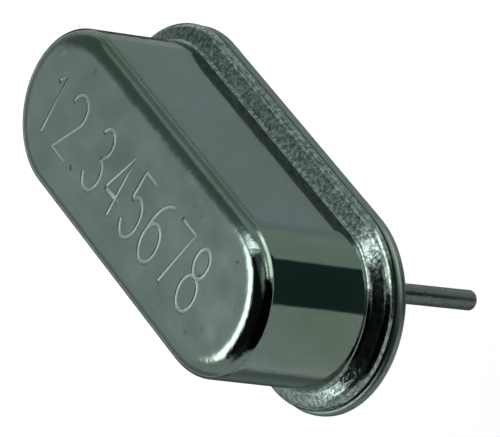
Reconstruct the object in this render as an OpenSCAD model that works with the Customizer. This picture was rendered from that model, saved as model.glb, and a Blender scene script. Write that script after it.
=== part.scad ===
// Low-profile two-lead quartz crystal in a welded obround metal can.
// The origin is the middle of the seating plane, +X runs along the can,
// +Z points to the can's top and both leads point down.

/* [Can] */
// Outside length of the drawn can
can_len = 10.24; // [9.9:0.02:10.5]
// Outside width of the drawn can
can_w = 3.7; // [3.5:0.02:3.9]
// Height of the can's top above the seating plane
can_h = 3.35; // [3.2:0.05:4.2]
// Thickness of the can's sheet
sheet_t = 0.18; // [0.15:0.01:0.22]
// Outside radius of the shoulder between wall and top
shoulder_r = 0.3; // [0.26:0.02:0.44]
// How far off the plate's middle the can is welded, along X
can_shift = -0.1; // [-0.12:0.01:0.12]

/* [Weld flange of the can] */
// Reach of the flange past each long wall
flange_side = 0.44; // [0.4:0.01:0.48]
// Reach of the flange past each rounded end
flange_end = 0.44; // [0.4:0.01:0.5]
// Thickness of the flange
flange_t = 0.3; // [0.24:0.01:0.34]
// Outside fillet between wall and flange
root_r = 0.25; // [0.1:0.01:0.3]
// Inside radius where the wall flares into the flange
lip_r = 0.28; // [0.2:0.01:0.33]
// Rounding of the flange's upper edge
flange_edge_r = 0.19; // [0.1:0.01:0.22]

/* [Base plate] */
// Reach of the rim past the flange on each long side
rim_side = 0.04; // [0.02:0.01:0.1]
// Reach of the rim past the flange at each end
rim_end = 0.02; // [0.02:0.01:0.08]
// Thickness of the rim
rim_t = 0.22; // [0.19:0.01:0.3]
// Rounding of the rim's upper and lower edges
rim_edge_r = 0.08; // [0.03:0.01:0.09]
// Height of the plateau above the rim
plateau_h = 0.49; // [0.35:0.01:0.6]
// Gap between the plateau and the can's inner wall
plateau_gap = 0.2; // [0.16:0.01:0.3]
// Rounding of the plateau's upper edge
plateau_edge_r = 0.06; // [0.03:0.01:0.12]
// Height of the weld ring that the flange sits on
weld_h = 0.05; // [0.02:0.01:0.08]
// Width of the weld ring
weld_w = 0.1; // [0.06:0.01:0.14]

/* [Leads] */
// Distance between the two leads
lead_pitch = 4.88; // [4.6:0.02:5.1]
// Diameter of the lead wire
lead_d = 0.45; // [0.4:0.01:0.5]
// Length of the long lead below the seating plane
long_lead = 4.5; // [3:0.1:13]
// Length of the short lead below the seating plane
short_lead = 2.7; // [2:0.1:13]
// Height of the chamfer on each lead's tip
lead_tip = 0.1; // [0.05:0.01:0.16]
// Diameter of the flat head inside the can
head_d = 0.9; // [0.7:0.05:1]
// Thickness of the flat head
head_t = 0.12; // [0.08:0.01:0.16]
// Height of the head's top above the plateau
head_rise = 0.3; // [0.22:0.01:0.4]
// How much the shank above the seating plane swells from being headed
shank_swell = 0.03; // [0.01:0.01:0.06]

/* [Glass seals] */
// Diameter of the glass seal and of its hole
seal_d = 1.2; // [1:0.05:1.4]
// Depth of the hollow that the glass draws round the lead
meniscus = 0.05; // [0.02:0.01:0.08]

/* [Support clips] */
// Width of the strip
clip_w = 1.2; // [0.9:0.05:1.6]
// Thickness of the strip
clip_t = 0.1; // [0.06:0.01:0.12]
// Rise from the foot to the platform
clip_rise = 0.75; // [0.5:0.05:0.95]
// Inside radius of the strip's two bends
clip_bend = 0.1; // [0.06:0.01:0.14]
// Length of the platform past the blank's end
clip_beyond = 0.5; // [0.44:0.01:0.54]
// Gap between the platform's end and the can's inner wall
clip_end_gap = 0.47; // [0.4:0.01:0.6]

/* [Quartz blank] */
// Width of the blank
blank_w = 1.9; // [1.75:0.05:2.1]
// Thickness of the blank
blank_t = 0.12; // [0.08:0.01:0.2]

/* [Electrodes and bonds] */
// Thickness of the metal film
film_t = 0.02; // [0.01:0.005:0.04]
// Length of the electrode over the blank's middle
electrode_len = 3.6; // [2.6:0.1:4.2]
// Width of the electrode
electrode_w = 1.4; // [1.1:0.05:1.6]
// Width of the tab that leads to the blank's end
tab_w = 0.7; // [0.3:0.05:1]
// Length of the contact pad on both faces of the end
pad_len = 0.8; // [0.6:0.05:1]
// Diameter of the conductive bond at each end
bond_d = 0.8; // [0.5:0.05:0.86]
// Height of the bond's dome above the blank
bond_h = 0.2; // [0.1:0.01:0.3]

/* [Hidden] */
$fn = 48;

// Half widths of the obround outlines
can_r = can_w / 2;
cavity_r = can_r - sheet_t;
flange_r = can_r + flange_side;
rim_r = flange_r + rim_side;
plateau_r = cavity_r - plateau_gap;
// Half distances between the centres of each outline's round ends
can_c = can_len / 2 - can_r;
flange_c = can_len / 2 + flange_end - flange_r;
rim_c = can_len / 2 + flange_end + rim_end - rim_r;
// The weld ring runs under the middle of the flange's flat
weld_r = (cavity_r + lip_r + flange_r) / 2;

// Levels above the seating plane
flange_z = rim_t + weld_h;
plateau_z = rim_t + plateau_h;
head_z = plateau_z + head_rise;
platform_z = head_z + clip_t + clip_rise;
blank_z = platform_z + film_t;

// Places along X: lead axis, platform's end and blank's end
lead_x = lead_pitch / 2;
platform_x = can_len / 2 - sheet_t - clip_end_gap;
blank_x = platform_x - clip_beyond;

// Depth by which a cut passes the face that it leaves
past = 1;

steel = [0.55, 0.58, 0.56];
wire = [0.5, 0.54, 0.52];
glass = [0.16, 0.22, 0.2];
nickel = [0.72, 0.7, 0.64];
quartz = [0.86, 0.9, 0.92];
silver = [0.82, 0.82, 0.84];

// Waste outside a round corner whose arc has its centre at the origin
module corner_waste(r) {
    difference() {
        square(r + past);
        circle(r);
    }
}

// Fills the inner corner at the origin with a concave fillet
module fillet_fill(r) {
    difference() {
        square(r);
        translate([r, r]) circle(r);
    }
}

// Half section of a plate: r wide, from level z0 to z1, with rounded outer edges
module half_plate(r, z0, z1, top_r = 0, bottom_r = 0) {
    difference() {
        translate([0, z0]) square([r, z1 - z0]);
        if (top_r > 0)
            translate([r - top_r, z1 - top_r]) corner_waste(top_r);
        if (bottom_r > 0)
            translate([r - bottom_r, z0 + bottom_r]) mirror([0, 1]) corner_waste(bottom_r);
    }
}

// Sweeps a half section round an obround whose ends are centred at +-c
module obround_sweep(c) {
    translate([-c, 0, 0]) rotate([90, 0, 90]) linear_extrude(2 * c) {
        children();
        mirror([1, 0]) children();
    }
    for (turn = [0, 180])
        rotate([0, 0, turn]) translate([c, 0, 0]) rotate([0, 0, -90])
            rotate_extrude(angle = 180) children();
}

// Puts its children at +X, or turned to -X
module at_end(turned) {
    rotate([0, 0, turned ? 180 : 0]) children();
}

// Stamped plate: thin rim, weld ring and raised plateau with two seal holes
module base_plate() {
    color(steel) difference() {
        union() {
            obround_sweep(rim_c) half_plate(rim_r, 0, rim_t, rim_edge_r, rim_edge_r);
            obround_sweep(can_c) half_plate(plateau_r, rim_t / 2, plateau_z, plateau_edge_r);
            obround_sweep(can_c)
                translate([weld_r - weld_w / 2, rim_t / 2]) square([weld_w, flange_z - rim_t / 2]);
        }
        for (side = [-1, 1])
            translate([side * lead_x, 0, -past]) cylinder(d = seal_d, h = plateau_z + 2 * past);
    }
}

// Drawn can with a rounded shoulder, closed top and a weld flange whose
// upper side runs from the root fillet straight into its rounded edge
module cover() {
    color(steel) translate([can_shift, 0, 0]) difference() {
        union() {
            obround_sweep(can_c) {
                half_plate(can_r, flange_z, can_h, shoulder_r);
                translate([can_r, flange_z + flange_t])
                    fillet_fill(min(root_r, flange_side - flange_edge_r));
            }
            obround_sweep(flange_c)
                half_plate(flange_r, flange_z, flange_z + flange_t, flange_edge_r);
        }
        obround_sweep(can_c) {
            half_plate(cavity_r, flange_z - past, can_h - sheet_t, shoulder_r - sheet_t);
            translate([cavity_r, flange_z]) fillet_fill(lip_r);
            translate([0, flange_z - past]) square([cavity_r + lip_r, past]);
        }
    }
}

// Part of a lead above the seating plane: swollen shank and flat head
module headed_shank() {
    cylinder(d1 = lead_d, d2 = lead_d + shank_swell, h = head_z - head_t);
    translate([0, 0, head_z - head_t]) cylinder(d = head_d, h = head_t);
}

// Glass bead fused between the lead and the hole, hollowed at both faces
module glass_seal(turned) {
    ring_w = (seal_d - lead_d) / 2;
    hollow_r = (ring_w * ring_w / 4 + meniscus * meniscus) / (2 * meniscus);
    hollow_depth = hollow_r - meniscus;
    color(glass) at_end(turned) translate([lead_x, 0, 0]) difference() {
        cylinder(d = seal_d, h = plateau_z);
        headed_shank();
        // The hollow's round stops inside the shank, short of the axis
        rotate_extrude() for (z = [-hollow_depth, plateau_z + hollow_depth]) intersection() {
            translate([seal_d / 2 - ring_w / 2, z]) circle(hollow_r);
            translate([lead_d / 4, z - 2 * hollow_r]) square([seal_d, 4 * hollow_r]);
        }
    }
}

// Round wire with a chamfered tip and a flat head to carry the clip
module lead_wire(turned, below) {
    color(wire) at_end(turned) translate([lead_x, 0, 0]) {
        translate([0, 0, -below])
            cylinder(d1 = lead_d - lead_tip, d2 = lead_d, h = lead_tip);
        translate([0, 0, lead_tip - below]) cylinder(d = lead_d, h = below - lead_tip);
        headed_shank();
    }
}

// Quarter of a bent strip, from inside radius clip_bend, in the first quadrant
module strip_bend() {
    intersection() {
        difference() {
            circle(clip_bend + clip_t);
            circle(clip_bend);
        }
        square(clip_bend + clip_t);
    }
}

// Spring strip: foot on the lead's head, riser, and platform under the blank
module support_clip(turned) {
    foot_x0 = lead_x - head_d / 2;
    foot_x1 = lead_x + head_d / 2;
    riser_x = foot_x1 + clip_bend;
    platform_x0 = riser_x + clip_t + clip_bend;
    bend_low = head_z + clip_t + clip_bend;
    bend_high = platform_z - clip_t - clip_bend;
    color(nickel) at_end(turned) rotate([90, 0, 0]) translate([0, 0, -clip_w / 2])
        linear_extrude(clip_w) {
            translate([foot_x0, head_z]) square([foot_x1 - foot_x0, clip_t]);
            translate([foot_x1, bend_low]) mirror([0, 1]) strip_bend();
            translate([riser_x, bend_low]) square([clip_t, bend_high - bend_low]);
            translate([platform_x0, bend_high]) mirror([1, 0]) strip_bend();
            translate([platform_x0, platform_z - clip_t]) square([platform_x - platform_x0, clip_t]);
        }
}

// Thin rectangular strip of quartz
module quartz_blank() {
    color(quartz) translate([-blank_x, -blank_w / 2, blank_z]) cube([2 * blank_x, blank_w, blank_t]);
}

// Film on one face, led over one end of the blank to a pad on the other face
module electrode(turned) {
    color(silver) translate([0, 0, blank_z + blank_t / 2]) rotate([0, turned ? 180 : 0, 0]) {
        translate([-electrode_len / 2, -electrode_w / 2, blank_t / 2])
            cube([electrode_len, electrode_w, film_t]);
        translate([0, -tab_w / 2, blank_t / 2]) cube([blank_x, tab_w, film_t]);
        for (z = [blank_t / 2, -blank_t / 2 - film_t])
            translate([blank_x - pad_len, -electrode_w / 2, z])
                cube([pad_len + film_t, electrode_w, film_t]);
        translate([blank_x, -electrode_w / 2, -blank_t / 2]) cube([film_t, electrode_w, blank_t]);
    }
}

// Round-topped drop of silver-filled epoxy over the blank's end
module bond(turned) {
    bond_r = bond_d / 2;
    dome_r = (bond_r * bond_r + bond_h * bond_h) / (2 * bond_h);
    dome_z = blank_z + blank_t + film_t;
    color(silver) difference() {
        at_end(turned) translate([blank_x, 0, 0]) rotate_extrude() {
            translate([0, platform_z]) square([bond_r, dome_z - platform_z]);
            intersection() {
                translate([0, dome_z]) square([bond_r, bond_h]);
                translate([0, dome_z + bond_h - dome_r]) circle(dome_r);
            }
        }
        quartz_blank();
        electrode(false);
        electrode(true);
    }
}

module glass_seal_1() { glass_seal(false); }
module glass_seal_2() { glass_seal(true); }
module long_lead_wire() { lead_wire(false, long_lead); }
module short_lead_wire() { lead_wire(true, short_lead); }
module support_clip_1() { support_clip(false); }
module support_clip_2() { support_clip(true); }
module top_electrode() { electrode(false); }
module bottom_electrode() { electrode(true); }
module bond_1() { bond(false); }
module bond_2() { bond(true); }

base_plate();
cover();
glass_seal_1();
glass_seal_2();
long_lead_wire();
short_lead_wire();
support_clip_1();
support_clip_2();
quartz_blank();
top_electrode();
bottom_electrode();
bond_1();
bond_2();
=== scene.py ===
import math

import bmesh
import bpy
from mathutils import Matrix, Vector


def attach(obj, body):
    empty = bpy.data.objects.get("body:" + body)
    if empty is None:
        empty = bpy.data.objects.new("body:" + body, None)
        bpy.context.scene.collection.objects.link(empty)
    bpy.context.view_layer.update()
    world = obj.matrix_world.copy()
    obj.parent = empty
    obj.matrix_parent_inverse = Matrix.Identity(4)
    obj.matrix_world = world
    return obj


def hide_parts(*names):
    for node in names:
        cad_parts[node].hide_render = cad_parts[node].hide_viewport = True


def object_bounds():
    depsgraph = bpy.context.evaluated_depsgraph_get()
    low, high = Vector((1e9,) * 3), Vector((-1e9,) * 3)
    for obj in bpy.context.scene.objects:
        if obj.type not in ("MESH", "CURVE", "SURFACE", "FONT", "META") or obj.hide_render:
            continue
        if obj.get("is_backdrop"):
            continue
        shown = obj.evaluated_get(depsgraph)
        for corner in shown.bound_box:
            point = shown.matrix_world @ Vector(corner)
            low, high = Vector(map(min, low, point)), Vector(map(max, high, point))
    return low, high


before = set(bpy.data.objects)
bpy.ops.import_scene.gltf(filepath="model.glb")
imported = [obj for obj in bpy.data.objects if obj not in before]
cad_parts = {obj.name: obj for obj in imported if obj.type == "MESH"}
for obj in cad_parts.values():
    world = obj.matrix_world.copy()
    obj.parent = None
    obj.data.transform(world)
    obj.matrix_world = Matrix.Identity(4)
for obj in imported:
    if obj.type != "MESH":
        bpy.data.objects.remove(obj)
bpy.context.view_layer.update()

# Sizes below are written in millimetres, and the frame is in metres.
MM = 0.001
scene = bpy.context.scene
scene.view_settings.view_transform = "Standard"


# ---------------------------------------------------------------- studio
# A sheet of white paper under the part, an even white room round it, and one
# soft box. A long lens looks down on the can's near corner, as for a catalogue.
LENS = 336
CAMERA_PLACE = (66.071, 41.043, 64.269)
CAMERA_RIGHT = (0.47509, 0.43083, -0.76725)
CAMERA_UP = (-0.58675, 0.80490, 0.08865)

camera_data = bpy.data.cameras.new("camera")
camera = bpy.data.objects.new("camera", camera_data)
scene.collection.objects.link(camera)
scene.camera = camera
camera_data.sensor_width = 36
camera_data.lens = LENS
camera_data.clip_start = 1 * MM
camera_data.clip_end = 4000 * MM
camera_right = Vector(CAMERA_RIGHT)
camera_up = Vector(CAMERA_UP)
camera_turn = Matrix((camera_right, camera_up, camera_right.cross(camera_up))).transposed()
camera.matrix_world = Matrix.Translation(Vector(CAMERA_PLACE) * MM) @ camera_turn.to_4x4()


def deselect_all():
    """Leaves edit mode and lets go of every object."""
    if bpy.context.object and bpy.context.object.mode != "OBJECT":
        bpy.ops.object.mode_set(mode="OBJECT")
    bpy.ops.object.select_all(action="DESELECT")


def linear(hexcode):
    """Turns an sRGB hex colour to the linear one that the shaders mix."""
    parts = [int(hexcode[i:i + 2], 16) / 255 for i in (1, 3, 5)]
    return tuple(p / 12.92 if p <= 0.04045 else ((p + 0.055) / 1.055) ** 2.4 for p in parts) + (1,)


def new_material(name):
    """An empty material and its node tree."""
    material = bpy.data.materials.new(name)
    material.use_nodes = True
    material.node_tree.nodes.clear()
    return material, material.node_tree


def add_node(tree, kind, settings=None, links=None):
    """Adds a node, sets its sockets and its own settings, and links what feeds it."""
    made = tree.nodes.new(kind)
    for name, value in (settings or {}).items():
        if isinstance(name, int) or name in made.inputs:
            made.inputs[name].default_value = value
        else:
            setattr(made, name, value)
    for name, source in (links or {}).items():
        tree.links.new(source, made.inputs[name])
    return made


def seen_share(tree):
    """1 for a ray that the eye follows, straight, mirrored or through glass, 0 for the rest."""
    path = add_node(tree, "ShaderNodeLightPath")
    seen = path.outputs["Is Camera Ray"]
    for ray in ("Is Glossy Ray", "Is Transmission Ray"):
        seen = add_node(tree, "ShaderNodeMath", {"operation": "MAXIMUM"},
                        {0: seen, 1: path.outputs[ray]}).outputs[0]
    return seen


FLOOR_WIDE = 3000
FLOOR_Z = -14
deselect_all()
bpy.ops.mesh.primitive_plane_add(size=FLOOR_WIDE * MM, location=(0, 0, FLOOR_Z * MM))
floor = bpy.context.object
floor.name = "floor"

# Matt white paper: no shine at all, a pale even ground that holds a soft shadow.
# It glows a little for the eye alone, and is clear from below, to show the underside.
PAPER_GLOW = 0.29
paper, tree = new_material("matt_white_paper")
lift = add_node(tree, "ShaderNodeMath", {"operation": "MULTIPLY", 1: PAPER_GLOW},
                {0: seen_share(tree)})
matt = add_node(tree, "ShaderNodeBsdfDiffuse", {"Color": linear("#E7E7E7")})
glow = add_node(tree, "ShaderNodeEmission", {"Color": linear("#FFFFFF")},
                {"Strength": lift.outputs[0]})
paper_face = add_node(tree, "ShaderNodeAddShader", None, {0: matt.outputs[0], 1: glow.outputs[0]})
paper_back = add_node(tree, "ShaderNodeBsdfTransparent")
side = add_node(tree, "ShaderNodeNewGeometry")
both = add_node(tree, "ShaderNodeMixShader", None, {
    0: side.outputs["Backfacing"], 1: paper_face.outputs[0], 2: paper_back.outputs[0]})
add_node(tree, "ShaderNodeOutputMaterial", None, {"Surface": both.outputs[0]})
floor.data.materials.append(paper)
floor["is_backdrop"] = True

# The room: plain white to the eye, and dimmer where it lights the part.
ROOM_LIGHT = 0.62
ROOM_WHITE = 1.0
world = bpy.data.worlds.new("room")
scene.world = world
world.use_nodes = True
tree = world.node_tree
tree.nodes.clear()
strength = add_node(tree, "ShaderNodeMapRange", {"To Min": ROOM_LIGHT, "To Max": ROOM_WHITE},
                    {"Value": seen_share(tree)})
room = add_node(tree, "ShaderNodeBackground", {"Color": linear("#FFFFFF")},
                {"Strength": strength.outputs[0]})
add_node(tree, "ShaderNodeOutputWorld", None, {"Surface": room.outputs[0]})


def direction(azimuth, elevation):
    """The way from the part to a place in the room, from two angles in degrees."""
    a = math.radians(azimuth)
    e = math.radians(elevation)
    return Vector((math.cos(a) * math.cos(e), math.sin(a) * math.cos(e), math.sin(e)))


# The soft box, high on one side, lights the paper and what is matt; the shine doesn't show it.
LAMP_AZIMUTH = 120
LAMP_ELEVATION = 62
LAMP_AWAY = 300
LAMP_WIDE = 220
LAMP_WATTS = 0.42
soft_box = bpy.data.lights.new("soft_box", "AREA")
soft_box.shape = "SQUARE"
soft_box.size = LAMP_WIDE * MM
soft_box.energy = LAMP_WATTS
lamp = bpy.data.objects.new("soft_box", soft_box)
scene.collection.objects.link(lamp)
to_lamp = direction(LAMP_AZIMUTH, LAMP_ELEVATION)
lamp.location = to_lamp * LAMP_AWAY * MM
lamp.rotation_euler = to_lamp.to_track_quat("Z", "Y").to_euler()
lamp.visible_camera = False
lamp.visible_glossy = False


# ---------------------------------------------------------------- cards and windows
# Bright metal shows only what stands round it: black and grey cards, lit panes
# and a ceiling panel, and cloths laid on the floor. Only reflections see them.
CARD_AWAY = 200


def standing(azimuth, elevation, wide, high):
    """The place of a card that faces the part and fills these angles of its view."""
    toward = direction(azimuth, elevation)
    turn = toward.to_track_quat("Z", "Y").to_matrix().to_4x4()
    size = [2 * CARD_AWAY * MM * math.tan(math.radians(angle / 2)) for angle in (wide, high)]
    return Matrix.Translation(toward * CARD_AWAY * MM) @ turn @ Matrix.Diagonal((*size, 1, 1))


def lying(place, turn, wide, deep):
    """The place of a card that lies level, its middle and sides in millimetres."""
    return (Matrix.Translation(Vector(place) * MM) @ Matrix.Rotation(math.radians(turn), 4, "Z")
            @ Matrix.Diagonal((wide * MM, deep * MM, 1, 1)))


def soft_sides(tree, place, soft):
    """1 inside a card, fading to 0 at its four sides over this share of its half width."""
    apart = add_node(tree, "ShaderNodeSeparateXYZ", None, {0: place})
    inside = []
    for axis in "XY":
        away = add_node(tree, "ShaderNodeMath", {"operation": "ABSOLUTE"}, {0: apart.outputs[axis]})
        inside.append(add_node(tree, "ShaderNodeMapRange", {
            "interpolation_type": "SMOOTHSTEP", "From Min": 0.5, "From Max": 0.5 * (1 - soft)},
            {"Value": away.outputs[0]}))
    return add_node(tree, "ShaderNodeMath", {"operation": "MULTIPLY"}, {
        0: inside[0].outputs[0], 1: inside[1].outputs[0]}).outputs[0]


def soft_fan(tree, place, half, soft):
    """1 inside a fan this many degrees to each side, fading to 0 over the last ones."""
    around = add_node(tree, "ShaderNodeTexGradient", {"gradient_type": "RADIAL"}, {"Vector": place})
    turned = add_node(tree, "ShaderNodeMath", {"operation": "SUBTRACT", 1: 0.5},
                      {0: around.outputs["Fac"]})
    turned = add_node(tree, "ShaderNodeMath", {"operation": "ABSOLUTE"}, {0: turned.outputs[0]})
    return add_node(tree, "ShaderNodeMapRange", {
        "interpolation_type": "SMOOTHSTEP", "From Min": half / 360, "From Max": (half - soft) / 360},
        {"Value": turned.outputs[0]}).outputs[0]


def card(name, place, colour, strength, edge, *edge_sizes):
    """A thin card at its place. It glows evenly, so that the metal shows its flat tone,
    and it fades out at its edge, as a matt card out of focus does."""
    deselect_all()
    bpy.ops.mesh.primitive_plane_add(size=1)
    made = bpy.context.object
    made.name = name
    made.matrix_world = place
    for ray in ("camera", "diffuse", "shadow", "transmission", "volume_scatter"):
        setattr(made, "visible_" + ray, False)
    surface, tree = new_material(name)
    spot = add_node(tree, "ShaderNodeTexCoord").outputs["Object"]
    share = edge(tree, spot, *edge_sizes)
    clear = add_node(tree, "ShaderNodeBsdfTransparent")
    light = add_node(tree, "ShaderNodeEmission", {"Color": linear(colour), "Strength": strength})
    mix = add_node(tree, "ShaderNodeMixShader", None, {
        0: share, 1: clear.outputs[0], 2: light.outputs[0]})
    add_node(tree, "ShaderNodeOutputMaterial", None, {"Surface": mix.outputs[0]})
    made.data.materials.append(surface)
    made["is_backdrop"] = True


# Cards that stand round the part: azimuth, elevation, width and height in degrees.
for name, azimuth, elevation, wide, high, colour, strength, soft in (
        ("black_card_front", 5, 38, 92, 100, "#0A0D0D", 1, 0.16),
        ("black_card_left", -62, 48, 32, 40, "#3F4242", 1, 0.6),
        ("grey_card_back", 225, 6, 110, 34, "#ADB8B5", 1, 0.5),
        ("grey_card_side", 170, 33, 50, 46, "#95A29E", 1, 0.3),
        ("grey_card_far", 133, 2, 40, 50, "#C5CECB", 1, 0.4),
        ("window_low", 71, 8, 38, 26, "#FFFDF7", 5, 0.3),
        ("window_mid", 68, 38, 24, 12, "#FFFDF3", 4, 0.5),
        ("window_high", 98, 10, 24, 26, "#FFFFFD", 6, 0.35),
        ("window_top", 136, 57, 26, 8, "#FFFFFF", 4, 0.5)):
    card(name, standing(azimuth, elevation, wide, high), colour, strength, soft_sides, soft)

# Cards that lie level: their middle, turn in degrees, width and depth.
for name, middle, turn, wide, deep, colour, strength, soft in (
        ("ceiling_panel", (-70, -78, 150), 6, 45, 146, "#FFFFFF", 13, 0.10),
        ("window_strip", (-52, 75, 148), -19, 13, 165, "#FFFFFF", 12, 0.4),
        ("window_glow", (33, 78, 155), 0, 52, 84, "#FFFAEB", 1.2, 0.6),
        ("black_card_top", (0, -58, 165), 0, 170, 214, "#272B2B", 1, 0.15),
        ("grey_card_top", (0, 100, 175), 0, 190, 150, "#899090", 1, 0.3),
        ("grey_cloth_side", (-15, 13, -13.5), 0, 34, 20, "#D1DDDF", 1, 0.4)):
    card(name, lying(middle, turn, wide, deep), colour, strength, soft_sides, soft)

# Cloths spread like fans from under the near end, one over the other above the floor:
# height, the way they point, and half their angle and the soft part of it in degrees.
FAN_FROM = (4.5, 0.8)
FAN_WIDE = 160
for name, low, azimuth, half, soft, colour in (
        ("grey_cloth_back", -13.45, 142, 26, 12, "#CED8DA"),
        ("grey_cloth_corner", -13.42, 106, 32, 20, "#F3F8ED"),
        ("dark_cloth_right", -13.4, 54, 32, 4, "#45595B"),
        ("dark_cloth_front", -13.3, -128, 58, 16, "#869593"),
        ("dark_cloth_left", -13.2, -150, 48, 24, "#3F4B48")):
    card(name, lying((*FAN_FROM, low), azimuth, FAN_WIDE, FAN_WIDE), colour, 1, soft_fan, half, soft)


# ---------------------------------------------------------------- base plate
# The eyelet that carries everything: a thin rim, a weld ring on it and a raised
# plateau inside the can, pierced twice for the glass seals. It is stamped from
# steel sheet and plated with nickel, and the can is resistance welded to its ring.

# R is an obround's radius, C how far its two centres lie from the middle, T a thickness.
RIM_R = 2.33
RIM_C = 3.25
RIM_T = 0.22
RIM_ROUND = 0.08
WELD_H = 0.05
WELD_IN = 2.07
WELD_OUT = 2.17
PLATEAU_R = 1.47
PLATEAU_Z = 0.71
PLATEAU_ROUND = 0.06
LEAD_X = 2.44
SEAL_R = 0.60
PUNCH_HALF = 2
ROUND_SIDES = 96
OBROUND_SIDES = 192
# Places closer than a hair count as level, and closer than this in metres as one spot.
HAIR = 1e-3
SAME_SPOT = 1e-4 * MM


def select_in_edit(ob, kind, test):
    """Selects the faces, edges or vertices whose place in millimetres passes the test."""
    bpy.ops.mesh.select_mode(type={"faces": "FACE", "edges": "EDGE", "verts": "VERT"}[kind])
    bpy.ops.mesh.select_all(action="DESELECT")
    mesh = bmesh.from_edit_mesh(ob.data)
    for item in getattr(mesh, kind):
        if kind == "verts":
            item.select = test(item.co / MM)
        elif kind == "edges":
            item.select = test(item.verts[0].co / MM, item.verts[1].co / MM)
        else:
            item.select = test(item.calc_center_median() / MM, item.normal)
    if kind == "verts":
        mesh.select_flush(True)
    else:
        mesh.select_flush_mode()
    bmesh.update_edit_mesh(ob.data)


def round_bar(name, r, z0, z1, x=0, sides=ROUND_SIDES):
    """A round bar between two heights, left open for editing."""
    deselect_all()
    bpy.ops.mesh.primitive_cylinder_add(vertices=sides, radius=r * MM, depth=(z1 - z0) * MM,
                                        location=(x * MM, 0, (z0 + z1) / 2 * MM))
    bar = bpy.context.object
    bar.name = name
    bpy.ops.object.transform_apply(location=True, rotation=False, scale=False)
    bpy.ops.object.mode_set(mode="EDIT")
    return bar


def merge_all():
    """Joins the vertices that share a spot."""
    bpy.ops.mesh.select_all(action="SELECT")
    bpy.ops.mesh.remove_doubles(threshold=SAME_SPOT)


def obround_disc(name, r, c, z0, z1):
    """A round disc, cut across, its halves moved apart and bridged straight."""
    disc = round_bar(name, r, z0, z1, sides=OBROUND_SIDES)
    bpy.ops.mesh.select_all(action="SELECT")
    bpy.ops.mesh.bisect(plane_co=(0, 0, 0), plane_no=(1, 0, 0), threshold=SAME_SPOT)
    select_in_edit(disc, "faces", lambda p, n: p.x > 0)
    bpy.ops.mesh.split()
    bpy.ops.transform.translate(value=(c * MM, 0, 0))
    select_in_edit(disc, "faces", lambda p, n: p.x < 0)
    bpy.ops.transform.translate(value=(-c * MM, 0, 0))
    select_in_edit(disc, "edges", lambda a, b: max(abs(abs(a.x) - c), abs(abs(b.x) - c)) < HAIR)
    bpy.ops.mesh.bridge_edge_loops()
    merge_all()
    bpy.ops.mesh.normals_make_consistent(inside=False)
    return disc


def distance_out(p, c):
    """How far a point lies from the middle line of an obround piece, in millimetres."""
    return math.hypot(max(abs(p.x) - c, 0), p.y)


def round_edges(r, steps, profile=0.5):
    """Rounds the selected edges."""
    bpy.ops.mesh.bevel(offset=r * MM, segments=steps, profile=profile, affect="EDGES",
                       clamp_overlap=False)


def raise_face(rise):
    """Draws the selected face straight up by millimetres."""
    bpy.ops.mesh.extrude_region_move(TRANSFORM_OT_translate={"value": (0, 0, rise * MM)})


def cut_with(ob, tool):
    """Cuts the tool's shape out of a piece and takes the tool away."""
    cut = ob.modifiers.new("cut", "BOOLEAN")
    cut.operation = "DIFFERENCE"
    cut.object = tool
    cut.solver = "EXACT"
    deselect_all()
    bpy.context.view_layer.objects.active = ob
    bpy.ops.object.modifier_apply(modifier="cut")
    bpy.data.objects.remove(tool)


def finish_mesh(ob):
    """Merges, shades the rounds smooth and keeps the flats flat beside them."""
    deselect_all()
    bpy.context.view_layer.objects.active = ob
    bpy.ops.object.mode_set(mode="EDIT")
    merge_all()
    deselect_all()
    ob.select_set(True)
    bpy.ops.object.shade_smooth_by_angle(angle=math.radians(30))
    weighted = ob.modifiers.new("weighted", "WEIGHTED_NORMAL")
    weighted.keep_sharp = True
    weighted.weight = 100
    bpy.ops.object.modifier_apply(modifier="weighted")


base = obround_disc("base_plate_eyelet", RIM_R, RIM_C, 0, RIM_T)
select_in_edit(base, "faces", lambda p, n: n.z > 0.9)
bpy.ops.mesh.dissolve_faces()
for inward, rise in ((RIM_R - WELD_OUT, WELD_H),
                     (WELD_OUT - WELD_IN, -WELD_H),
                     (WELD_IN - PLATEAU_R, PLATEAU_Z - RIM_T)):
    bpy.ops.mesh.inset(thickness=inward * MM, depth=0, use_even_offset=True)
    raise_face(rise)
select_in_edit(base, "edges", lambda a, b: (
    abs(a.z - b.z) < HAIR and distance_out((a + b) / 2, RIM_C) > RIM_R - 10 * HAIR
    and distance_out(a, RIM_C) > RIM_R - HAIR and distance_out(b, RIM_C) > RIM_R - HAIR))
round_edges(RIM_ROUND, 6)
select_in_edit(base, "edges", lambda a, b: min(a.z, b.z) > PLATEAU_Z - HAIR)
round_edges(PLATEAU_ROUND, 4)
for x in (-LEAD_X, LEAD_X):
    punch = round_bar("punch", SEAL_R, -PUNCH_HALF, PUNCH_HALF, x)
    cut_with(base, punch)
finish_mesh(base)


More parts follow.
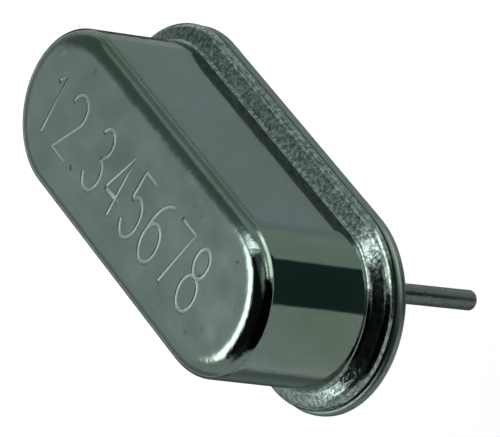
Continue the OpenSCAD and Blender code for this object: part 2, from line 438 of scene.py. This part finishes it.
def plated_metal(name, shades, rough, patch_rough, patch_mm, dent_mm, dent_deep):
    """Plated metal: clouds of tone and gloss this coarse, over slow dents this deep."""
    material, tree = new_material(name)
    place = add_node(tree, "ShaderNodeTexCoord").outputs["Object"]
    clouds = add_node(tree, "ShaderNodeTexNoise", {
        "Scale": 1 / (patch_mm * MM), "Detail": 5, "Roughness": 0.62}, {"Vector": place})
    tone = add_node(tree, "ShaderNodeMixRGB", {1: linear(shades[0]), 2: linear(shades[1])},
                    {0: clouds.outputs[0]})
    gloss = add_node(tree, "ShaderNodeMapRange", {
        "From Min": 0.3, "From Max": 0.7, "To Min": rough, "To Max": rough + patch_rough},
        {"Value": clouds.outputs[0]})
    dents = add_node(tree, "ShaderNodeTexNoise", {"Scale": 1 / (dent_mm * MM), "Detail": 2},
                     {"Vector": place})
    bump = add_node(tree, "ShaderNodeBump", {"Strength": 1.0, "Distance": dent_deep * MM},
                    {"Height": dents.outputs[0]})
    shader = add_node(tree, "ShaderNodeBsdfPrincipled", {"Metallic": 1.0}, {
        "Base Color": tone.outputs[0], "Roughness": gloss.outputs[0], "Normal": bump.outputs[0]})
    add_node(tree, "ShaderNodeOutputMaterial", None, {"Surface": shader.outputs[0]})
    return material


# Satin nickel plated on stamped steel: a grey, even metal with a broad, dull sheen and
# hardly any reflection to be made out. Its clouds are coarser than the real grain, to show.
base_nickel = plated_metal("satin_nickel_on_steel", ("#5A6660", "#66736C"), rough=0.40, patch_rough=0.06,
                           patch_mm=0.4, dent_mm=0.25, dent_deep=0.004)
base.data.materials.append(base_nickel)
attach(base, "root")
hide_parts("base_plate")


# ---------------------------------------------------------------- glass seals
# Beads of dark sealing glass, melted into each hole of the plate round the
# lead. They hold the lead, keep it apart from the plate and close the can; the
# glass wets the metal, so that each face is drawn into a shallow ring.
LEAD_R = 0.225
MENISCUS = 0.05
RING_STEPS = 10
# The bore is this much wider than the wire, which swells to fill it further up.
BORE_MORE = 0.01


def glass_bead(name, x):
    """A bead whose two faces hollow towards the middle of the ring and open at the lead."""
    bead = round_bar(name, SEAL_R, 0, PLATEAU_Z, x)
    ring = SEAL_R - LEAD_R - BORE_MORE
    for up in (1, -1):
        select_in_edit(bead, "faces", lambda p, n: n.z * up > 0.9)
        depth_before = 0
        for i in range(1, RING_STEPS + 1):
            t = 2 * i / RING_STEPS - 1
            depth_now = MENISCUS * (1 - t * t)
            bpy.ops.mesh.inset(thickness=ring / RING_STEPS * MM, depth=(depth_before - depth_now) * MM)
            depth_before = depth_now
    select_in_edit(bead, "faces", lambda p, n: abs(n.z) > 0.9 and math.hypot(p.x - x, p.y) < LEAD_R / 2)
    bpy.ops.mesh.bridge_edge_loops()
    return bead


# Fused sealing glass: nearly black green, glossy and wet looking, with tiny bubbles under
# the skin. The bubbles are drawn some times their real size, to show.
dark_glass, tree = new_material("fused_sealing_glass")
place = add_node(tree, "ShaderNodeTexCoord").outputs["Object"]
bubbles = add_node(tree, "ShaderNodeTexVoronoi", {"Scale": 1 / (0.07 * MM)}, {"Vector": place})
cloud = add_node(tree, "ShaderNodeTexNoise", {"Scale": 1 / (0.3 * MM), "Detail": 4}, {"Vector": place})
tint = add_node(tree, "ShaderNodeMixRGB", {1: linear("#1E2B2C"), 2: linear("#33423F")},
                {0: cloud.outputs[0]})
pits = add_node(tree, "ShaderNodeMapRange", {"From Min": 0.05, "From Max": 0.2},
                {"Value": bubbles.outputs[0]})
bump = add_node(tree, "ShaderNodeBump", {"Strength": 0.4, "Distance": 0.004 * MM},
                {"Height": pits.outputs[0]})
shader = add_node(tree, "ShaderNodeBsdfPrincipled", {"Roughness": 0.12, "IOR": 1.52, "Coat Weight": 0.4},
                  {"Base Color": tint.outputs[0], "Normal": bump.outputs[0]})
add_node(tree, "ShaderNodeOutputMaterial", None, {"Surface": shader.outputs[0]})

for number, x in ((1, LEAD_X), (2, -LEAD_X)):
    bead = glass_bead("glass_bead_%d" % number, x)
    finish_mesh(bead)
    bead.data.materials.append(dark_glass)
    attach(bead, "root")
    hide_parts("glass_seal_%d" % number)


# ---------------------------------------------------------------- lead wires
# Round iron-nickel wire, tinned by dipping and sheared at the tip, fused into
# its bead. The end inside the can is cold headed flat, to take a clip, and the
# shank swells a little where it was upset.
WIRE_SIDES = 64
TIP_ROUND = 0.075
NECK_Z = 0.89
HEAD_Z = 1.01
HEAD_R = 0.45
SWELL = 0.015


def lead_wire(name, x, below):
    """A wire that hangs this far below the plate's underside, with its head on top."""
    wire = round_bar(name, LEAD_R, -below, 0, x, WIRE_SIDES)
    select_in_edit(wire, "edges", lambda a, b: max(a.z, b.z) < HAIR - below)
    round_edges(TIP_ROUND, 3, profile=0.42)
    select_in_edit(wire, "faces", lambda p, n: n.z > 0.9)
    raise_face(NECK_Z)
    swell = (LEAD_R + SWELL) / LEAD_R
    bpy.ops.transform.resize(value=(swell, swell, 1), center_override=(x * MM, 0, 0))
    raise_face(0)
    spread = HEAD_R / (LEAD_R + SWELL)
    bpy.ops.transform.resize(value=(spread, spread, 1), center_override=(x * MM, 0, 0))
    raise_face(HEAD_Z - NECK_Z)
    return wire


# Hot tinned wire: a soft grey shine with dull clouds and slow runs of the dip, darker than
# the can. The runs are a little deeper than real ones, to show on so thin a wire.
tinned = plated_metal("hot_tinned_wire", ("#434E4A", "#525E59"), rough=0.24, patch_rough=0.12,
                      patch_mm=0.25, dent_mm=0.16, dent_deep=0.006)
for length, x, below in (("long", LEAD_X, 4.5), ("short", -LEAD_X, 2.7)):
    wire = lead_wire("lead_wire_" + length, x, below)
    finish_mesh(wire)
    wire.data.materials.append(tinned)
    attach(wire, "root")
    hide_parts(length + "_lead_wire")


# ---------------------------------------------------------------- support clips
# Two bent strips of thin nickel spring sheet, spot welded to the leads' heads.
# They carry the blank by its ends, so that it is free to ring.
def dress(node_name, material):
    """Gives a solid that stays as it is its own material."""
    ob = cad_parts[node_name]
    ob.data.materials.clear()
    ob.data.materials.append(material)


# Rolled nickel spring sheet: warm grey, brighter than the plating, with the soft
# stretched gloss of the rolls.
spring = plated_metal("rolled_nickel_spring_sheet", ("#8E8C82", "#A5A398"), rough=0.22, patch_rough=0.1,
                      patch_mm=0.3, dent_mm=0.2, dent_deep=0.002)
dress("support_clip_1", spring)
dress("support_clip_2", spring)


# ---------------------------------------------------------------- quartz blank
# A strip sawn from a bar of grown quartz, lapped thin and etched to its pitch.
# It is held by its two ends on the clips and touches nothing else.

# Etched quartz: clear glassy stone whose fine frost scatters the light, so that it looks
# milky. The frost is drawn coarser than it is, to show.
etched, tree = new_material("etched_quartz")
place = add_node(tree, "ShaderNodeTexCoord").outputs["Object"]
frost = add_node(tree, "ShaderNodeTexNoise", {"Scale": 1 / (0.06 * MM), "Detail": 6}, {"Vector": place})
tint = add_node(tree, "ShaderNodeMixRGB", {1: linear("#D9DEDD"), 2: linear("#ECEFEF")},
                {0: frost.outputs[0]})
bump = add_node(tree, "ShaderNodeBump", {"Strength": 0.5, "Distance": 0.002 * MM},
                {"Height": frost.outputs[0]})
shader = add_node(tree, "ShaderNodeBsdfPrincipled", {
    "Roughness": 0.35, "IOR": 1.54, "Transmission Weight": 0.7},
    {"Base Color": tint.outputs[0], "Normal": bump.outputs[0]})
add_node(tree, "ShaderNodeOutputMaterial", None, {"Surface": shader.outputs[0]})
dress("quartz_blank", etched)


# ---------------------------------------------------------------- electrodes
# Films of silver, evaporated through a mask on both faces of the blank, each
# led round one end to meet the glue there.

# Evaporated silver: a white mirror, dulled a little by the etched stone under it.
silver_film = plated_metal("evaporated_silver", ("#C4C4C6", "#D6D6D8"), rough=0.12, patch_rough=0.12,
                           patch_mm=0.5, dent_mm=0.3, dent_deep=0.0005)
dress("top_electrode", silver_film)
dress("bottom_electrode", silver_film)


# ---------------------------------------------------------------- bonds
# Drops of conductive glue, dabbed on and cured, that hold the blank's ends to
# the clips and join the silver to them.

# Silver-filled epoxy: a dull grey paste whose flakes glitter. They are drawn larger than
# real ones, to show.
epoxy, tree = new_material("silver_filled_epoxy")
place = add_node(tree, "ShaderNodeTexCoord").outputs["Object"]
flakes = add_node(tree, "ShaderNodeTexVoronoi", {"Scale": 1 / (0.03 * MM)}, {"Vector": place})
flake = flakes.outputs["Distance"]
tint = add_node(tree, "ShaderNodeMixRGB", {1: linear("#8F8F8C"), 2: linear("#B9B9B6")}, {0: flake})
bump = add_node(tree, "ShaderNodeBump", {"Strength": 0.6, "Distance": 0.004 * MM}, {"Height": flake})
shader = add_node(tree, "ShaderNodeBsdfPrincipled", {"Roughness": 0.45, "Metallic": 0.6},
                  {"Base Color": tint.outputs[0], "Normal": bump.outputs[0]})
add_node(tree, "ShaderNodeOutputMaterial", None, {"Surface": shader.outputs[0]})
dress("bond_1", epoxy)
dress("bond_2", epoxy)


# ---------------------------------------------------------------- cover
# The can, deep drawn in one piece with its flange from thin steel sheet and
# plated bright. It is welded to the plate by its flange, in a dry gas, and a
# line of plain digits is struck in its top.
CAN_R = 1.85
CAN_C = 3.27
CAN_H = 3.43
CAN_SHIFT = -0.1
SHEET = 0.18
FLANGE_R = 2.29
FLANGE_Z = 0.27
EDGE_R = 0.22
ROOT_R = 0.12
SLOPE = 17
START_T = 0.01
# The shoulder's height and width, and how far each end of the can leans in over it.
SHOULDER_H = 0.37
SHOULDER_W = 0.46
LEAN_NEAR = 0.12
LEAN_FAR = 0.21
DRAFT_NEAR = 0.08
# The flared round inside the mouth.
LIP_R = 0.28

can = obround_disc("drawn_can", FLANGE_R, CAN_C, FLANGE_Z, FLANGE_Z + START_T)
select_in_edit(can, "faces", lambda p, n: n.z > 0.9)
bpy.ops.mesh.dissolve_faces()
# The flange rises in an S: a round outer edge, a slope, and a hollow root.
slope = math.radians(SLOPE)
steep = math.radians(90 - SLOPE)
turns = [steep * i / 10 for i in range(11)]
flat = FLANGE_R - CAN_R - (EDGE_R + ROOT_R) * (1 - math.sin(slope))
section = [(EDGE_R * (1 - math.cos(a)), EDGE_R * math.sin(a)) for a in turns]
root_x = section[-1][0] + flat
root_z = section[-1][1] + flat * math.tan(slope)
section += [(root_x + ROOT_R * (math.sin(slope + a) - math.sin(slope)),
             root_z + ROOT_R * (math.cos(slope) - math.cos(slope + a))) for a in turns]
for (x0, z0), (x1, z1) in zip(section, section[1:]):
    bpy.ops.mesh.inset(thickness=(x1 - x0) * MM, depth=(z1 - z0) * MM, use_even_offset=True)
raise_face(CAN_H - FLANGE_Z - START_T - section[-1][1])
select_in_edit(can, "edges", lambda a, b: min(a.z, b.z) > CAN_H - HAIR)
round_edges(SHOULDER_H, 16)

# The shoulder's round is drawn out to an oval, wider than it is high, and each
# end of the can leans in by its own amount towards the top.
for level in sorted({round(v.co.z / MM, 4) for v in bmesh.from_edit_mesh(can.data).verts
                     if v.co.z / MM > CAN_H - SHOULDER_H - HAIR}):
    rise = min(1, max(0, (level - CAN_H + SHOULDER_H) / SHOULDER_H))
    turned_in = 1 - math.sqrt(1 - rise * rise)
    widen = (SHOULDER_W - SHOULDER_H) * turned_in
    narrow = 1 - widen / (CAN_R - SHOULDER_H * turned_in)
    select_in_edit(can, "verts", lambda p: abs(p.z - level) < HAIR)
    bpy.ops.transform.resize(value=(1, narrow, 1), center_override=(0, 0, level * MM))
    for sign, lean in ((1, DRAFT_NEAR + LEAN_NEAR * turned_in), (-1, LEAN_FAR * turned_in)):
        select_in_edit(can, "verts", lambda p: abs(p.z - level) < HAIR and sign * p.x > 1)
        bpy.ops.transform.translate(value=(-sign * (lean + widen) * MM, 0, 0))


def on_loop(a, b, level, r):
    """True for an edge of the outline at this level whose ends lie this far out."""
    return all(abs(p.z - level) < HAIR and abs(distance_out(p, CAN_C) - r) < 2 * HAIR for p in (a, b))


# The hollow is pushed up from below, with a round inner shoulder and a flared mouth.
select_in_edit(can, "faces", lambda p, n: n.z < -0.9 and p.z < FLANGE_Z + HAIR)
bpy.ops.mesh.dissolve_faces()
bpy.ops.mesh.inset(thickness=(FLANGE_R - CAN_R + SHEET) * MM, use_even_offset=True)
raise_face(CAN_H - SHEET - FLANGE_Z)
select_in_edit(can, "edges", lambda a, b: on_loop(a, b, CAN_H - SHEET, CAN_R - SHEET))
round_edges(SHOULDER_W - SHEET, 5)
select_in_edit(can, "edges", lambda a, b: on_loop(a, b, FLANGE_Z, CAN_R - SHEET))
round_edges(LIP_R, 6)
bpy.ops.mesh.select_all(action="SELECT")
bpy.ops.transform.translate(value=(CAN_SHIFT * MM, 0, 0))

# The digits are drawn as strokes with a round-nosed punch and struck one by one.
DIGIT_W = 0.60
DIGIT_H = 1.50
DIGIT_STEP = 0.86
DOT_STEP = 0.44
TEXT_X = -4.12
TEXT_Y = -0.84
GROOVE_R = 0.060
GROOVE_DEEP = 0.022


def arc(x, y, rx, ry, start, end, count=18):
    """Points on an oval, in shares of the digit's width and height."""
    angles = [math.radians(start + (end - start) * i / count) for i in range(count + 1)]
    return [(x + rx * math.cos(a), y + ry * math.sin(a)) for a in angles]


STROKES = {
    "1": [[(0.2, 0.8), (0.55, 1.0), (0.55, 0.0)]],
    "2": [arc(0.5, 0.73, 0.5, 0.27, 170, -35) + [(0.0, 0.0), (1.0, 0.0)]],
    "3": [arc(0.45, 0.77, 0.42, 0.23, 160, -80), arc(0.45, 0.27, 0.5, 0.27, 85, -160)],
    "4": [[(0.72, 0.0), (0.72, 1.0), (0.0, 0.3)], [(-0.02, 0.3), (1.0, 0.3)]],
    "5": [[(0.92, 1.0), (0.14, 1.0), (0.10, 0.55)], arc(0.48, 0.32, 0.5, 0.32, 140, -155)],
    "6": [arc(0.5, 0.3, 0.5, 0.3, 90, -270, 24), arc(0.95, 0.32, 0.92, 0.68, 95, 172)],
    "7": [[(0.0, 1.0), (1.0, 1.0), (0.35, 0.0)]],
    "8": [arc(0.5, 0.77, 0.4, 0.23, 90, -270, 24), arc(0.5, 0.27, 0.5, 0.27, 90, -270, 24)],
    ".": [[(0.0, 0.02), (0.14, 0.05)]],
}
strokes = []
left = TEXT_X
for digit in "12.345678":
    for path in STROKES[digit]:
        strokes.append([(left + x * DIGIT_W, TEXT_Y + y * DIGIT_H) for x, y in path])
    left += DOT_STEP if digit == "." else DIGIT_STEP
for points in strokes:
    start_x, start_y = points[0]
    deselect_all()
    bpy.ops.mesh.primitive_plane_add(size=0.01 * MM, location=(start_x * MM, start_y * MM, CAN_H * MM))
    stroke = bpy.context.object
    bpy.ops.object.transform_apply(location=True, rotation=False, scale=False)
    bpy.ops.object.mode_set(mode="EDIT")
    bpy.ops.mesh.select_mode(type="VERT")
    bpy.ops.mesh.select_all(action="SELECT")
    bpy.ops.mesh.merge(type="CENTER")
    for (x0, y0), (x1, y1) in zip(points, points[1:]):
        bpy.ops.mesh.extrude_region_move(TRANSFORM_OT_translate={
            "value": ((x1 - x0) * MM, (y1 - y0) * MM, 0)})
    bpy.ops.mesh.select_all(action="SELECT")
    bpy.ops.mesh.remove_doubles(threshold=HAIR * MM)
    bpy.ops.object.mode_set(mode="OBJECT")
    bpy.ops.object.convert(target="CURVE")
    stroke.data.twist_mode = "Z_UP"
    stroke.data.bevel_depth = GROOVE_R * MM
    stroke.data.bevel_resolution = 2
    stroke.data.use_fill_caps = True
    bpy.ops.object.convert(target="MESH")
    bpy.ops.object.mode_set(mode="EDIT")
    merge_all()
    bpy.ops.transform.resize(value=(1, 1, GROOVE_DEEP / GROOVE_R), center_override=(0, 0, CAN_H * MM))
    bpy.ops.mesh.normals_make_consistent(inside=False)
    cut_with(can, stroke)
finish_mesh(can)

# Bright nickel on drawn steel: a cool grey mirror on the wall, bent a little by slow dents
# of the drawing; a softer, faintly grained top; a mottled land where the weld pressed; and
# dull grooves. The tones of the wall and the top are turned down as painted shade, and the
# land's lighter mottle is partly painted sheen. The plating's own grain is far finer, and
# is drawn coarser to show.
can_nickel, tree = new_material("bright_nickel_on_drawn_steel")
place = add_node(tree, "ShaderNodeTexCoord").outputs["Object"]
apart = add_node(tree, "ShaderNodeSeparateXYZ", None, {0: place})
height = apart.outputs["Z"]

# How far a point belongs to the top, the land and the peel near the top, from its height.
share = {}
for zone, none, full in (("top", CAN_H - 0.05, CAN_H - 0.002),
                         ("land", 0.66, 0.60),
                         ("peel", CAN_H - 0.32, CAN_H - 0.20)):
    share[zone] = add_node(tree, "ShaderNodeMapRange", {
        "interpolation_type": "SMOOTHSTEP", "From Min": none * MM, "From Max": full * MM},
        {"Value": height}).outputs[0]

# Each cloudy pattern: its grain in millimetres, detail, roughness, and the stretch to 0..1.
cloud = {}
for use, grain, detail, roughness, low, high in (
        ("wall_tone", 2.2, 3, 0.5, 0.35, 0.65),
        ("top_tone", 1.3, 6, 0.65, 0.3, 0.7),
        ("land_tone", 0.10, 4, 0.7, 0.42, 0.58),
        ("specks", 0.16, 2, 0.5, 0.72, 0.76),
        ("wall_gloss", 1.2, 3, 0.5, 0.2, 0.9),
        ("top_gloss", 0.7, 5, 0.7, 0.3, 0.7),
        ("land_gloss", 0.12, 4, 0.5, 0.4, 0.6),
        ("dents", 1.6, 2, 0.5, 0.3, 0.7),
        ("peel", 0.20, 5, 0.65, 0.3, 0.7)):
    noise = add_node(tree, "ShaderNodeTexNoise", {
        "Scale": 1 / (grain * MM), "Detail": detail, "Roughness": roughness}, {"Vector": place})
    cloud[use] = add_node(tree, "ShaderNodeMapRange", {"From Min": low, "From Max": high},
                          {"Value": noise.outputs[0]}).outputs[0]

# Each zone's tone is matched to how bright that zone looks: painted shade turns the wall's and the top's
# tones down, and painted sheen lifts the land's light mottle.
tone = {}
for zone, first, second in (("wall", "#5D6B67", "#586659"),
                            ("top", "#53615C", "#606E68"),
                            ("land", "#52605B", "#86948E")):
    tone[zone] = add_node(tree, "ShaderNodeMixRGB", {1: linear(first), 2: linear(second)},
                          {0: cloud[zone + "_tone"]}).outputs[0]
coat_with_painted_light = add_node(tree, "ShaderNodeMixRGB", None, {0: share["top"], 1: tone["wall"], 2: tone["top"]})
coat_with_painted_light = add_node(tree, "ShaderNodeMixRGB", None, {
    0: share["land"], 1: coat_with_painted_light.outputs[0], 2: tone["land"]})
coat_with_painted_light = add_node(tree, "ShaderNodeMixRGB", {2: linear("#3A4441")}, {
    0: cloud["specks"], 1: coat_with_painted_light.outputs[0]})

# Roughness from the clearest to the dullest spot of each zone; wall and top share a cloud.
shine = add_node(tree, "ShaderNodeMix", None, {
    0: share["top"], 2: cloud["wall_gloss"], 3: cloud["top_gloss"]}).outputs[0]
rough = {}
for zone, pattern, clear, dull in (("wall", shine, 0.035, 0.09),
                                   ("top", shine, 0.14, 0.24),
                                   ("land", cloud["land_gloss"], 0.08, 0.20)):
    rough[zone] = add_node(tree, "ShaderNodeMapRange", {"To Min": clear, "To Max": dull},
                           {"Value": pattern}).outputs[0]

# The grooves: whatever lies lower than the top inside the field of the digits.
FIELD_X = -0.6
FIELD_HALF_X = 3.75
FIELD_HALF_Y = 1.0
GROOVE_ROUGH = 0.34
sunk = add_node(tree, "ShaderNodeMath", {"operation": "LESS_THAN", 1: (CAN_H - 0.001) * MM},
                {0: height})
across = add_node(tree, "ShaderNodeMath", {"operation": "COMPARE", 1: 0.0, 2: FIELD_HALF_Y * MM},
                  {0: apart.outputs["Y"]})
along = add_node(tree, "ShaderNodeMath", {
    "operation": "COMPARE", 1: FIELD_X * MM, 2: FIELD_HALF_X * MM}, {0: apart.outputs["X"]})
groove = add_node(tree, "ShaderNodeMath", {"operation": "MULTIPLY"}, {
    0: across.outputs[0], 1: along.outputs[0]})
groove = add_node(tree, "ShaderNodeMath", {"operation": "MULTIPLY"}, {
    0: groove.outputs[0], 1: sunk.outputs[0]})
dull = add_node(tree, "ShaderNodeMix", None, {0: share["top"], 2: rough["wall"], 3: rough["top"]})
dull = add_node(tree, "ShaderNodeMix", {3: GROOVE_ROUGH}, {0: groove.outputs[0], 2: dull.outputs[0]})
dull = add_node(tree, "ShaderNodeMix", None, {0: share["land"], 2: dull.outputs[0], 3: rough["land"]})

# Slow dents all over, and on the shoulder and the land a fine peel, which calms on the top.
bump = add_node(tree, "ShaderNodeBump", {"Strength": 1.0, "Distance": 0.004 * MM},
                {"Height": cloud["dents"]})
calm = add_node(tree, "ShaderNodeMapRange", {
    "From Min": (CAN_H - 0.010) * MM, "From Max": (CAN_H - 0.001) * MM, "To Min": 0.85, "To Max": 0.2},
    {"Value": height})
peel = add_node(tree, "ShaderNodeMath", {"operation": "MULTIPLY"}, {
    0: share["peel"], 1: calm.outputs[0]})
peel = add_node(tree, "ShaderNodeMath", {"operation": "MAXIMUM"}, {
    0: peel.outputs[0], 1: share["land"]})
peel = add_node(tree, "ShaderNodeMath", {"operation": "MULTIPLY"}, {
    0: cloud["peel"], 1: peel.outputs[0]})
bump = add_node(tree, "ShaderNodeBump", {"Strength": 1.0, "Distance": 0.0032 * MM},
                {"Height": peel.outputs[0], "Normal": bump.outputs[0]})
shader = add_node(tree, "ShaderNodeBsdfPrincipled", {"Metallic": 1.0}, {
    "Base Color": coat_with_painted_light.outputs[0], "Roughness": dull.outputs[0], "Normal": bump.outputs[0]})
add_node(tree, "ShaderNodeOutputMaterial", None, {"Surface": shader.outputs[0]})
can.data.materials.append(can_nickel)
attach(can, "root")
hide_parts("cover")

low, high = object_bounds()
